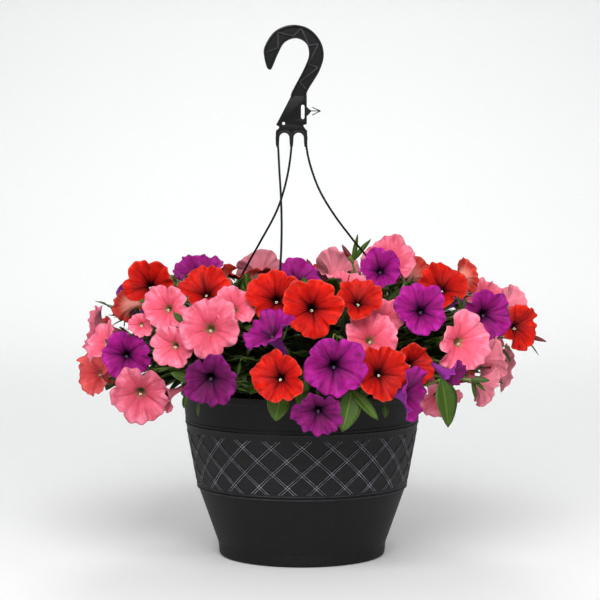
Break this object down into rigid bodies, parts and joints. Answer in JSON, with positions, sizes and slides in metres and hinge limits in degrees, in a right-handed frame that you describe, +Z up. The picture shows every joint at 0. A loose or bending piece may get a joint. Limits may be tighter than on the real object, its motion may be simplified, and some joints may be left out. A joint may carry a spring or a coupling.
{
  "type": "petunia hanging basket",
  "caption": "Hanging basket: a quilted plastic pot on a one-piece hook and arms, filled with soil and a dome of mixed petunias in full bloom.",
  "frame": {"origin": "centre of the pot's flat underside", "axes": "+Z up along the pot's axis, -Y towards the side that the picture shows, +X to its right"},
  "size_m": [0.4874, 0.4604, 0.5535],
  "materials": {
    "pot": "matt moulded plastic with a pebbled band",
    "hanger": "satin moulded plastic",
    "soil": "loose dark potting soil",
    "leaf": "soft living leaves and stems",
    "red": "soft petals, scarlet with a near-black throat",
    "purple": "soft petals, magenta-purple with a dark violet throat",
    "pink": "soft petals, salmon pink with a cream throat",
    "coral": "soft petals, coral pink with a cream throat"
  },
  "bodies": {
    "root": {"bloom_coral_01": "coral", "bloom_pink_02": "pink", "bloom_pink_08": "pink", "bloom_pink_11": "pink", "bloom_pink_12": "pink", "bloom_pink_15": "pink", "bloom_pink_16": "pink", "bloom_pink_17": "pink", "bloom_pink_22": "pink", "bloom_purple_01": "purple", "bloom_purple_02": "purple", "bloom_purple_03": "purple", "bloom_purple_04": "purple", "bloom_purple_05": "purple", "bloom_purple_06": "purple", "bloom_purple_07": "purple", "bloom_purple_08": "purple", "bloom_purple_09": "purple", "bloom_purple_10": "purple", "bloom_purple_11": "purple", "bloom_purple_12": "purple", "bloom_red_03": "red", "bloom_red_04": "red", "bloom_red_06": "red", "bloom_red_07": "red", "bloom_red_08": "red", "bloom_red_09": "red", "bloom_red_10": "red", "bloom_red_11": "red", "bloom_red_17": "red", "blooms_coral_02": "coral", "blooms_pink_01": "pink", "blooms_pink_03": "pink", "blooms_pink_04": "pink", "blooms_pink_06": "pink", "blooms_pink_13": "pink", "blooms_pink_18": "pink", "blooms_pink_19": "pink", "blooms_pink_20": "pink", "blooms_pink_21": "pink", "blooms_purple_13": "purple", "blooms_purple_14": "purple", "blooms_purple_15": "purple", "blooms_purple_16": "purple", "blooms_red_01": "red", "blooms_red_05": "red", "blooms_red_12": "red", "blooms_red_13": "red", "blooms_red_14": "red", "blooms_red_15": "red", "blooms_red_16": "red", "hanger": "hanger", "pot": "pot", "shoot_1": "leaf", "shoot_2": "leaf", "shoot_3": "leaf", "shoot_4": "leaf", "shoot_5": "leaf", "shoot_6": "leaf", "soil": "soil"}
  },
  "joints": []
}
